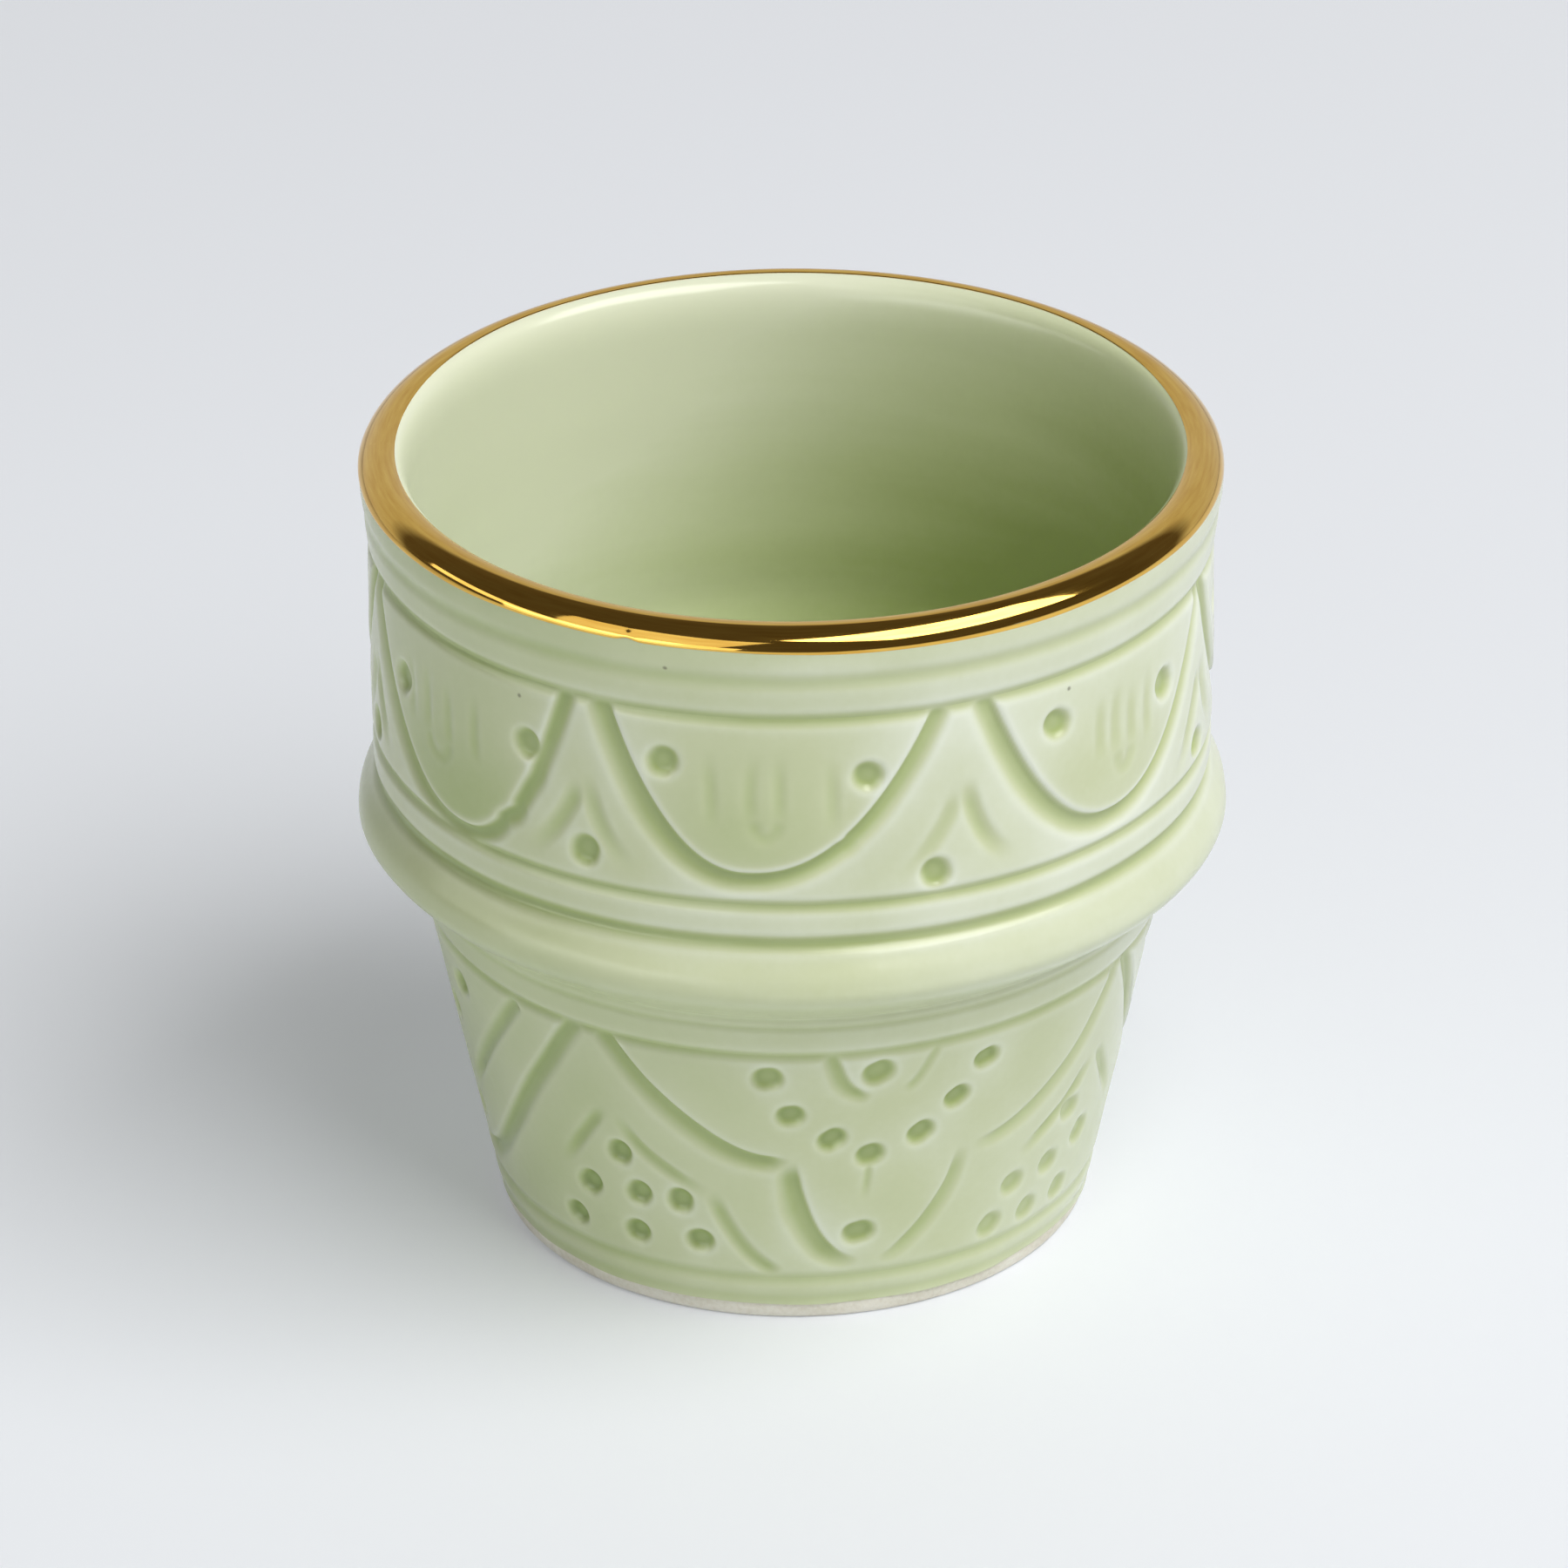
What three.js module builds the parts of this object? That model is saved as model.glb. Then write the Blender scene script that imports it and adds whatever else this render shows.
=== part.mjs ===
// A handleless ceramic cup: a turned clay body with a green glaze coat outside and another inside,
// and a gold band fired over the lip. Millimetres, +Z up. The origin is the middle of the foot,
// on the surface that the cup stands on.
import * as THREE from "three";

// Heights above the table
const CUP_HEIGHT = 78; // crest of the lip
const WAIST_HEIGHT = 35.7; // where the tapered lower wall meets the underside of the belly
const BELLY_RISE = 5.4; // waist to the belly's widest line
const BELLY_CLOSE = 4.2; // widest line to the foot of the collar
const FLOOR_HEIGHT = 6; // drinking surface at the middle of the bowl
const FOOT_RECESS = 1.4; // hollow turned into the underside
const BARE_FOOT_HEIGHT = 1.3; // band above the table that is wiped clean of glaze

// Radii
const FOOT_RADIUS = 28.2;
const WAIST_RADIUS = 35.5;
const COLLAR_RADIUS = 39.4;
const BELLY_SWELL = 1.55; // how far the belly stands out from the collar
const LIP_FLARE = 0.7; // how far the lip stands out from the collar
const FOOT_RING_WIDTH = 7.2; // ring that the cup stands on
const FOOT_CHAMFER = 0.6;
const BOWL_FILLET = 8; // round between the bowl's wall and its floor
const BELLY_ROUND = 0.4; // 0 gives the belly a sharp ridge, 1 a square one

// The lip: a round that slopes away outside its crest and turns down more steeply inside
const LIP_SLOPE = 2.9; // from its widest line in to its crest
const LIP_TURN = 1.35; // from its crest in to the bowl's wall
const LIP_RISE = 1.95; // from its widest line up to its crest

// Wall and coats
const WALL_THICKNESS = 3.9; // clay and both coats
const GLAZE_THICKNESS = 0.8;
const GLAZE_EDGE = 0.2; // thickness left where the coat thins out at the wiped foot
const GLAZE_RUN = 2; // height over which it thins out
const GOLD_THICKNESS = 0.15;
const GOLD_OVERLAP = 20; // degrees round the lip's section, past the crest

// Rings cut while the cup turned: shallow round-bottomed grooves in the coat
const RING_WIDTH = 1.5;
const RING_GLAZE = 0.3; // coat left under a ring
const FOOT_GROOVE_HEIGHT = 4.95; // above the table
const WAIST_GROOVE_DROPS = [4.1, 1.1]; // below the waist
const COLLAR_GROOVE_RISES = [0.8, 4.75]; // above the foot of the collar
const FLARE_GROOVE_DROP = 9; // below the crest of the lip, where the collar starts to flare
const LIP_GROOVE_DROP = 5; // below the crest of the lip

// Fineness
const TURN_STEPS = 48;
const RING_STEPS = 3;
const BELLY_STEPS = 4;
const LIP_STEP = 24; // degrees
const FILLET_STEPS = 4;

// Places worked out from the sizes above
const LIP_WIDEST = 0; // degrees round the lip's section
const LIP_CREST = 90;
const LIP_INSIDE = 180;
const GOLD_END = LIP_CREST + GOLD_OVERLAP;
const BELLY_RADIUS = COLLAR_RADIUS + BELLY_SWELL;
const BELLY_HEIGHT = WAIST_HEIGHT + BELLY_RISE;
const COLLAR_HEIGHT = BELLY_HEIGHT + BELLY_CLOSE;
const FLARE_HEIGHT = CUP_HEIGHT - FLARE_GROOVE_DROP;
const LIP_CREST_RADIUS = COLLAR_RADIUS + LIP_FLARE - LIP_SLOPE;
const LIP_HEIGHT = CUP_HEIGHT - LIP_RISE;
const CLAY_INSET = GOLD_THICKNESS + GLAZE_THICKNESS;
const TAPER = (WAIST_RADIUS - FOOT_RADIUS) / WAIST_HEIGHT;
const FLARE = LIP_FLARE / (LIP_HEIGHT - FLARE_HEIGHT);

const point = (radius, height) => new THREE.Vector2(radius, height);
const lowerWall = (height) => FOOT_RADIUS + TAPER * height;
const collarWall = (height) => COLLAR_RADIUS + FLARE * Math.max(0, height - FLARE_HEIGHT);

// The lip's section, sunk by inset, at even steps from one angle to another: a quarter of an ellipse
// outside the crest and a quarter of a narrower one inside it
function lipArc(inset, fromDegrees, toDegrees) {
  const steps = Math.max(1, Math.round(Math.abs(toDegrees - fromDegrees) / LIP_STEP));
  return Array.from({ length: steps + 1 }, (_, step) => {
    const degrees = THREE.MathUtils.lerp(fromDegrees, toDegrees, step / steps);
    const angle = THREE.MathUtils.degToRad(degrees);
    const reach = (degrees < LIP_CREST ? LIP_SLOPE : LIP_TURN) - inset;
    return point(
      LIP_CREST_RADIUS + reach * Math.cos(angle),
      LIP_HEIGHT + (LIP_RISE - inset) * Math.sin(angle),
    );
  });
}

// A turned ring. The curve's handle lies twice as deep as its bottom.
function ringCut(height, wall) {
  const half = RING_WIDTH / 2;
  const depth = GLAZE_THICKNESS - RING_GLAZE;
  const cut = new THREE.QuadraticBezierCurve(
    point(wall(height - half), height - half),
    point(wall(height) - 2 * depth, height),
    point(wall(height + half), height + half),
  );
  return cut.getPoints(RING_STEPS);
}

// The belly from the waist, over its widest line, to the foot of the collar
function bellyCurve(inset) {
  const waist = point(WAIST_RADIUS - inset, WAIST_HEIGHT);
  const widest = point(BELLY_RADIUS - inset, BELLY_HEIGHT);
  const collar = point(COLLAR_RADIUS - inset, COLLAR_HEIGHT);
  const underside = new THREE.CubicBezierCurve(
    waist,
    waist.clone().lerp(widest, BELLY_ROUND),
    point(widest.x, widest.y - BELLY_ROUND * BELLY_RISE),
    widest,
  );
  const shoulder = new THREE.CubicBezierCurve(
    widest,
    point(widest.x, widest.y + BELLY_ROUND * BELLY_CLOSE),
    point(collar.x, collar.y - BELLY_ROUND * BELLY_CLOSE),
    collar,
  );
  return [...underside.getPoints(BELLY_STEPS), ...shoulder.getPoints(BELLY_STEPS).slice(1)];
}

// The glazed outside, from the wiped foot to the crest of the lip, with its turned rings
function glazedOutside() {
  return [
    point(lowerWall(BARE_FOOT_HEIGHT), BARE_FOOT_HEIGHT),
    ...ringCut(FOOT_GROOVE_HEIGHT, lowerWall),
    ...WAIST_GROOVE_DROPS.flatMap((drop) => ringCut(WAIST_HEIGHT - drop, lowerWall)),
    ...bellyCurve(0),
    ...COLLAR_GROOVE_RISES.flatMap((rise) => ringCut(COLLAR_HEIGHT + rise, collarWall)),
    ...ringCut(FLARE_HEIGHT, collarWall),
    ...ringCut(CUP_HEIGHT - LIP_GROOVE_DROP, collarWall),
    ...lipArc(GOLD_THICKNESS, LIP_WIDEST, LIP_CREST),
  ];
}

// The clay under the outer coat: the same form without the rings
function clayOutside() {
  const fullCoat = BARE_FOOT_HEIGHT + GLAZE_RUN;
  return [
    point(lowerWall(BARE_FOOT_HEIGHT) - GLAZE_EDGE, BARE_FOOT_HEIGHT),
    point(lowerWall(fullCoat) - GLAZE_THICKNESS, fullCoat),
    ...bellyCurve(GLAZE_THICKNESS),
    point(COLLAR_RADIUS - GLAZE_THICKNESS, FLARE_HEIGHT),
    ...lipArc(CLAY_INSET, LIP_WIDEST, LIP_CREST),
  ];
}

// The bowl from the crest of the lip to the middle of its floor. The clay's bowl lies inset into the wall.
function bowl(inset) {
  const wall = WALL_THICKNESS - inset;
  const floor = FLOOR_HEIGHT - inset;
  const fillet = BOWL_FILLET + inset;
  const lean = Math.atan(TAPER);
  const filletTop = floor + fillet * (1 - Math.sin(lean));
  const filletCentre = point(lowerWall(filletTop) - wall - fillet * Math.cos(lean), floor + fillet);
  const corner = new THREE.EllipseCurve(
    filletCentre.x, filletCentre.y, fillet, fillet, -lean, -Math.PI / 2, true,
  );
  const lowerEnd = WAIST_HEIGHT - BELLY_RISE;
  const belly = new THREE.CubicBezierCurve(
    point(COLLAR_RADIUS - wall, COLLAR_HEIGHT),
    point(COLLAR_RADIUS - wall, BELLY_HEIGHT),
    point(lowerWall(BELLY_HEIGHT) - wall, BELLY_HEIGHT),
    point(lowerWall(lowerEnd) - wall, lowerEnd),
  );
  const lipInset = GOLD_THICKNESS + inset;
  return [
    ...lipArc(lipInset, LIP_CREST, GOLD_END),
    ...lipArc(lipInset, GOLD_END, LIP_INSIDE).slice(1),
    ...belly.getPoints(BELLY_STEPS),
    ...corner.getPoints(FILLET_STEPS),
    point(0, floor),
  ];
}

// The underside, from its middle to the wiped edge of the foot
function foot() {
  const clayRadius = FOOT_RADIUS - GLAZE_EDGE;
  const innerRadius = clayRadius - FOOT_RING_WIDTH;
  return [
    point(0, FOOT_RECESS),
    point(innerRadius - FOOT_RECESS, FOOT_RECESS),
    point(innerRadius, 0),
    point(clayRadius - FOOT_CHAMFER, 0),
    point(clayRadius, FOOT_CHAMFER),
  ];
}

// The gold's section: a thin crescent that follows the lip
function goldSection() {
  const over = (inset) => [
    ...lipArc(inset, LIP_WIDEST, LIP_CREST),
    ...lipArc(inset, LIP_CREST, GOLD_END).slice(1),
  ];
  return [...over(0), ...over(GOLD_THICKNESS).reverse()];
}

// Turns a section about the cup's axis. The lathe turns about Y, so its rotation stands the piece up.
function turned(name, section, colour, roughness, metalness) {
  const material = new THREE.MeshStandardMaterial({ color: colour, roughness, metalness });
  const mesh = new THREE.Mesh(new THREE.LatheGeometry(section, TURN_STEPS), material);
  mesh.name = name;
  mesh.rotation.x = Math.PI / 2;
  return mesh;
}

const closed = (section) => [...section, section[0].clone()];
const claySection = [...foot(), ...clayOutside(), ...bowl(GLAZE_THICKNESS).slice(1)];
const outerCoat = closed([...glazedOutside(), ...clayOutside().reverse()]);
const innerCoat = [...bowl(GLAZE_THICKNESS).reverse(), ...bowl(0)];

const cup = new THREE.Group();
cup.add(
  turned("clay_body", claySection, 0xcfc2b0, 0.85, 0),
  turned("outer_glaze", outerCoat, 0xc3cda6, 0.25, 0),
  turned("inner_glaze", innerCoat, 0xbccb9b, 0.2, 0),
  turned("gold_rim", closed(goldSection()), 0xc8973f, 0.15, 1),
);

export default cup;
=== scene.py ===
import math

import bmesh
import bpy
import numpy as np
from mathutils import Matrix, Vector


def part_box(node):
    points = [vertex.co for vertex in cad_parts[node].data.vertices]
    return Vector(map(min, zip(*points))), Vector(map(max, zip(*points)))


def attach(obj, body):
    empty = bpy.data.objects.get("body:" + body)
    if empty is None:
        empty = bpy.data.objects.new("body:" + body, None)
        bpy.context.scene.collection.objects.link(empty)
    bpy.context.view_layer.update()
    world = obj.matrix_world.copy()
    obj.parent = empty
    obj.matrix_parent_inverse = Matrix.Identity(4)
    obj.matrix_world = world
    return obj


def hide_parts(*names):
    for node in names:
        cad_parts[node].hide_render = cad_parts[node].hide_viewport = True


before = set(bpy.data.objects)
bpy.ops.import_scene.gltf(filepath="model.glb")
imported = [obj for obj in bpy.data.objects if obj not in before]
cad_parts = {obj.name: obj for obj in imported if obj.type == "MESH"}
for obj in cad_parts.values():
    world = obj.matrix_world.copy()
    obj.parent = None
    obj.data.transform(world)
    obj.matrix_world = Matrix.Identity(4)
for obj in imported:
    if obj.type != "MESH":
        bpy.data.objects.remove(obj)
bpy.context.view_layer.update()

# Clay body
# The cup's core is a thin vessel of pale fired clay, turned on a wheel: floor, tapered skirt, belly,
# upright collar and rounded lip. Only the wiped edge of its foot and its underside stay bare.
MM = 0.001

# Sizes are in millimetres, and a pair is a radius and a height
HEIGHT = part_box("gold_rim")[1].z / MM
WIPED_HIGHER = 0.45  # than on the solid
BARE_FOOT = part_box("outer_glaze")[0].z / MM + WIPED_HIGHER
FOOT_RADIUS = 28.2
WAIST = (35.64, 36.4)
BELLY = (40.95, 41.5)
COLLAR = (39.35, 45.6)
COLLAR_MIDDLE = 39.55
FLARE = (39.4, 69.0)
GOLD_FOOT = (40.1, 76.1)
GOLD_FILM = 0.1
CREST_CLEARANCE = 0.02
LIP_CREST = (37.95, HEIGHT - GOLD_FILM - CREST_CLEARANCE)
LIP_INSIDE = (35.5, HEIGHT - 5.5)
LIP_FULLNESS = 1.25
BOWL_NARROWS = (30.5, 29.8)
BOWL_FLAT = 19.4
BOWL_FLOOR = 6.0
BOWL_FILLET = 8.0
BOWL_LEAN = 12


def bezier(start, pull, push, end, steps):
    """Points on a cubic curve, as rows of radius and height."""
    t = np.linspace(0, 1, steps + 1)[:, None]
    curve = (1 - t) ** 3 * np.array(start) + 3 * t * (1 - t) ** 2 * np.array(pull)
    return curve + 3 * t**2 * (1 - t) * np.array(push) + t**3 * np.array(end)


lip_angles = np.linspace(0, math.pi / 2, 33)
LIP_SLOPE = np.stack([
    LIP_CREST[0] + (GOLD_FOOT[0] - LIP_CREST[0]) * np.cos(lip_angles).clip(0) ** LIP_FULLNESS,
    GOLD_FOOT[1] + (LIP_CREST[1] - GOLD_FOOT[1]) * np.sin(lip_angles) ** LIP_FULLNESS,
], 1)
LIP_BACK = bezier(LIP_CREST, (36.3, LIP_CREST[1]), (LIP_INSIDE[0], 77.0), LIP_INSIDE, 24)
WALL = np.concatenate([
    [(FOOT_RADIUS, 0.0)],
    bezier(WAIST, (37.4, 38.0), (40.8, 39.6), BELLY, 24),
    bezier(BELLY, (BELLY[0], 43.3), (39.6, 44.3), COLLAR, 24)[1:],
    bezier(COLLAR, (COLLAR_MIDDLE, 53), (COLLAR_MIDDLE, 62), FLARE, 12)[1:],
    bezier(FLARE, (39.5, 71), (40.05, 73.5), GOLD_FOOT, 12)[1:],
    LIP_SLOPE[1:],
])


def wall_radius(height):
    """The finished outside of the cup at a height, both in millimetres, before any ring or carving."""
    return np.interp(height, WALL[:, 1], WALL[:, 0])


def bowl_line(inset):
    """The bowl from the lip's inside down to the middle of its floor, sunk by inset into the wall."""
    top = LIP_INSIDE[0] + inset
    narrow = (BOWL_NARROWS[0] + inset, BOWL_NARROWS[1])
    belly = bezier((top, COLLAR[1]), (top, 41.0), (32.9 + inset, 41.0), narrow, 20)
    corner = np.radians(np.linspace(-BOWL_LEAN, -90, 17))
    fillet = BOWL_FILLET + inset
    floor = BOWL_FLOOR - inset
    round_corner = np.stack([
        BOWL_FLAT + fillet * np.cos(corner),
        floor + fillet + fillet * np.sin(corner),
    ], 1)
    return np.concatenate([[(top, LIP_INSIDE[1]), (top - 0.1, 65)], belly, round_corner, [(0, floor)]])


def even_steps(line, spacing):
    """The same line with points an even distance apart."""
    line = np.asarray(line, dtype=float)
    run = np.concatenate([[0], np.cumsum(np.linalg.norm(np.diff(line, axis=0), axis=1))])
    steps = max(1, round(run[-1] / spacing))
    marks = np.linspace(0, run[-1], steps + 1)
    return np.stack([np.interp(marks, run, line[:, 0]), np.interp(marks, run, line[:, 1])], 1)


WELD_DISTANCE = 0.001 * MM
CREASE_ANGLE = math.radians(48)


def turn_on_wheel(name, section, steps, closed=True):
    """Turns a section of radius and height, in millimetres, once round the cup's axis into a smooth piece.
    An eighth is spun and then doubled three times."""
    shape = bmesh.new()
    ring = [shape.verts.new((radius * MM, 0, height * MM)) for radius, height in section]
    edges = [shape.edges.new(pair) for pair in zip(ring, ring[1:] + (ring[:1] if closed else []))]
    bmesh.ops.spin(
        shape, geom=ring + edges, cent=(0, 0, 0), axis=(0, 0, 1), dvec=(0, 0, 0),
        angle=math.pi / 4, steps=steps // 8, use_merge=False, use_normal_flip=False, use_duplicate=False,
    )
    for turned in (45, 90, 180):
        copy = bmesh.ops.duplicate(shape, geom=shape.verts[:] + shape.edges[:] + shape.faces[:])["geom"]
        copied = [part for part in copy if isinstance(part, bmesh.types.BMVert)]
        onward = Matrix.Rotation(math.radians(turned), 3, "Z")
        bmesh.ops.rotate(shape, verts=copied, cent=(0, 0, 0), matrix=onward)
    bmesh.ops.remove_doubles(shape, verts=shape.verts, dist=WELD_DISTANCE)
    bmesh.ops.recalc_face_normals(shape, faces=shape.faces)
    for face in shape.faces:
        face.smooth = True
    for edge in shape.edges:
        if edge.calc_face_angle(0) > CREASE_ANGLE:
            edge.smooth = False
    mesh = bpy.data.meshes.new(name)
    shape.to_mesh(mesh)
    shape.free()
    piece = bpy.data.objects.new(name, mesh)
    bpy.context.scene.collection.objects.link(piece)
    return piece


class Link:
    """A socket in a node tree. Arithmetic on it adds Math nodes, and node() adds any other kind."""

    def __init__(self, tree, socket=None):
        self.tree = tree
        self.socket = socket

    def node(self, kind, settings=None, values=None, output=0):
        made = self.tree.nodes.new(kind)
        for name, value in (settings or {}).items():
            if name == "stops":
                while len(made.color_ramp.elements) < len(value):
                    made.color_ramp.elements.new(0.5)
                for stop, (place, colour) in zip(made.color_ramp.elements, value):
                    stop.position = place
                    stop.color = (*colour, 1)
            else:
                setattr(made, name, value)
        for name, value in (values or {}).items():
            if isinstance(value, Link):
                self.tree.links.new(value.socket, made.inputs[name])
            else:
                made.inputs[name].default_value = value
        return Link(self.tree, made.outputs[output] if made.outputs else None)

    def math(self, operation, *values):
        return self.node("ShaderNodeMath", {"operation": operation}, dict(enumerate(values)))

    def __add__(self, other):
        return self.math("ADD", self, other)

    def __sub__(self, other):
        return self.math("SUBTRACT", self, other)

    def __rsub__(self, other):
        return self.math("SUBTRACT", other, self)

    def __mul__(self, other):
        return self.math("MULTIPLY", self, other)

    __radd__ = __add__
    __rmul__ = __mul__


def start_material(name):
    """An empty node material and the start of its links."""
    material = bpy.data.materials.new(name)
    material.use_nodes = True
    material.node_tree.nodes.clear()
    return material, Link(material.node_tree)


CORE_SINK = 1.5
BOWL_SINK = 1.0
CORE_TOP = (37.6, 76.3)
GLAZE_EDGE = 0.2
FOOT_RING_INSIDE = 20.8
FOOT_RECESS = 1.4
FOOT_ROUND = 0.5
clay_foot = wall_radius(0) - GLAZE_EDGE
foot_line = np.array([
    (0, FOOT_RECESS),
    (FOOT_RING_INSIDE - FOOT_RECESS, FOOT_RECESS),
    (FOOT_RING_INSIDE - 0.4, 0.25),
    (FOOT_RING_INSIDE, 0),
    (clay_foot - FOOT_ROUND, 0),
    (clay_foot - 0.2, 0.08),
    (clay_foot - 0.04, 0.25),
    (wall_radius(FOOT_ROUND) - GLAZE_EDGE, FOOT_ROUND),
    (wall_radius(BARE_FOOT) - GLAZE_EDGE, BARE_FOOT + 0.6),
    (wall_radius(4) - CORE_SINK, 4),
])
core_heights = np.linspace(5, 75, 60)
core_line = np.stack([wall_radius(core_heights) - CORE_SINK, core_heights], 1)
core_bowl = bowl_line(BOWL_SINK)[1:]
clay_section = np.concatenate([foot_line, core_line, [CORE_TOP], core_bowl])
clay_body = turn_on_wheel("clay_body_core", clay_section, 240, closed=False)

bare_clay, tree = start_material("bare_clay")
place = tree.node("ShaderNodeTexCoord", output="Object")
grain = tree.node("ShaderNodeTexNoise", values={"Vector": place, "Scale": 2200.0, "Detail": 5.0})
stain = tree.node("ShaderNodeTexNoise", values={"Vector": place, "Scale": 180.0, "Detail": 3.0})
clay_colour = tree.node(
    "ShaderNodeValToRGB",
    {"stops": [(0.3, (0.69, 0.65, 0.54)), (0.52, (0.80, 0.775, 0.68)), (0.75, (0.84, 0.825, 0.75))]},
    {"Fac": grain * 0.45 + stain * 0.55},
)
clay_tooth = tree.node("ShaderNodeBump", values={"Height": grain, "Strength": 0.35, "Distance": 0.2 * MM})
clay_shader = tree.node(
    "ShaderNodeBsdfPrincipled",
    values={"Base Color": clay_colour, "Roughness": stain * 0.15 + 0.72, "Normal": clay_tooth},
)
tree.node("ShaderNodeOutputMaterial", values={"Surface": clay_shader})
clay_body.data.materials.append(bare_clay)
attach(clay_body, "root")
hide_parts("clay_body")

# Rings and carving
# The turned rings and the hand-carved ornament, cut while the clay was leather hard: petals that hang round
# the collar, and petals with dotted fields round the skirt. The wall is unrolled as a grid of depths.
CELLS_ROUND = 2400
CELL_TURN = 360 / CELLS_ROUND
CELL = 0.1
cell_heights = np.arange(0, HEIGHT + CELL, CELL)
depths = np.zeros((CELLS_ROUND, len(cell_heights)))
hand = np.random.default_rng(7)
RUN_OUT = 1.0
SLIGHT = 1e-9


def ease(value):
    """A soft step from 0 to 1."""
    value = np.clip(value, 0, 1)
    return value * value * (3 - 2 * value)


def carve(route, reach, section, ceiling=HEIGHT):
    """Deepens the wall beside a route of degrees and heights. The tool's section takes each cell's distance
    to the right of the route and how far along it that cell lies, and gives the depth cut there. The cut
    runs out at the ceiling, the ring that it starts from."""
    route = np.asarray(route, dtype=float)
    low, high = route[:, 1].min() - reach, route[:, 1].max() + reach
    rows = np.flatnonzero((cell_heights > low) & (cell_heights < high))
    margin = math.degrees(reach / FOOT_RADIUS)
    columns = np.arange(
        math.floor((route[:, 0].min() - margin + 180) / CELL_TURN),
        math.ceil((route[:, 0].max() + margin + 180) / CELL_TURN),
    )
    turn = (columns * CELL_TURN - 180)[:, None]
    height = cell_heights[rows][None, :]
    arc = np.radians(wall_radius(height))
    aside = np.full((len(columns), len(rows)), np.inf)
    along = np.zeros_like(aside)
    for step, (here, there) in enumerate(zip(route[:-1], route[1:])):
        run_x, run_y = arc * (there[0] - here[0]), there[1] - here[1]
        x, y = arc * (turn - here[0]), height - here[1]
        share = np.clip((x * run_x + y * run_y) / (run_x**2 + run_y**2 + SLIGHT), 0, 1)
        gap = np.hypot(x - share * run_x, y - share * run_y)
        side = np.where(run_x * y - run_y * x > 0, -1, 1)
        nearer = gap < np.abs(aside)
        aside = np.where(nearer, gap * side, aside)
        along = np.where(nearer, (step + share) / (len(route) - 1), along)
    cut = np.where(np.abs(aside) < reach, section(aside, along), 0)
    cut = cut * ease((ceiling - height) / RUN_OUT + 0.5)
    target = np.ix_(columns % CELLS_ROUND, rows)
    depths[target] = np.maximum(depths[target], cut)


def bevel(widths, depth, ends=(0.0, 0.0)):
    """A slanting gouge: a steep wall on the route, a flat bottom and a long slope to its right."""
    steep = 0.4
    flat = 0.36

    def section(aside, along):
        width = np.interp(along, np.linspace(0, 1, len(widths)), widths)
        slope = 1 - ease((aside - flat * width) / ((1 - flat) * width))
        fade = ease(along / (ends[0] + SLIGHT)) * ease((1 - along) / (ends[1] + SLIGHT))
        return depth * ease(aside / steep) * slope * fade

    return section


def stroke(width, depth, ends):
    """A round-bottomed line that runs out at both ends."""

    def section(aside, along):
        bowl = np.clip(1 - (2 * aside / width) ** 2, 0, 1)
        return depth * bowl**1.5 * ease(along / ends[0]) * ease((1 - along) / ends[1])

    return section


def smooth_route(points):
    """A curve through a few given points of degrees and heights."""
    points = np.asarray(points, dtype=float)
    before = np.concatenate([[2 * points[0] - points[1]], points[:-1]])
    after = np.concatenate([points[1:], [2 * points[-1] - points[-2]]])
    lean = (after - before) / 6
    parts = [bezier(a, a + u, b - v, b, 8)[:-1] for a, b, u, v in zip(points, points[1:], lean, lean[1:])]
    return np.concatenate([*parts, points[-1:]])


def punch(turn, height, radius=1.7, wide=0.0, depth=0.72):
    """A dot pressed with a round stick, a little out of round. Wide stretches it by so many degrees."""
    tall = hand.uniform(0.0, 0.2)
    spot = [(turn - wide, height - tall), (turn + wide + hand.uniform(-0.3, 0.3), height + tall)]
    flat = 0.42 * radius
    wall = 0.64 * radius

    def section(aside, along):
        return depth * (1 - ease((np.abs(aside) - flat) / wall))

    carve(spot, 1.5 * radius, section)


# Each ring has a height, a width and a depth. The two shallowest are soft dips in the belly and the waist.
LIP_RING = 73.0
PETAL_RING = FLARE[1]
COLLAR_RING = 50.05
BELLY_RING = 46.1
WAIST_RING = 35.2
SKIRT_RING = 31.85
FOOT_RING = 4.95
RINGS = [
    (LIP_RING, 2.6, 0.22),
    (PETAL_RING, 2.0, 0.42),
    (COLLAR_RING, 1.9, 0.46),
    (BELLY_RING, 2.5, 0.6),
    (BELLY_RING - 1.2, 4.6, 0.04),
    (WAIST[1], 1.6, 0.06),
    (WAIST_RING, 0.9, 0.16),
    (SKIRT_RING, 1.7, 0.36),
    (FOOT_RING, 2.2, 0.24),
    (FOOT_RING - 2.45, 1.8, 0.12),
]
for height, width, depth in RINGS:
    groove = depth * (1 - ease(np.abs(cell_heights - height) / (width / 2)))
    np.maximum(depths, groove[None, :], out=depths)

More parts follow.
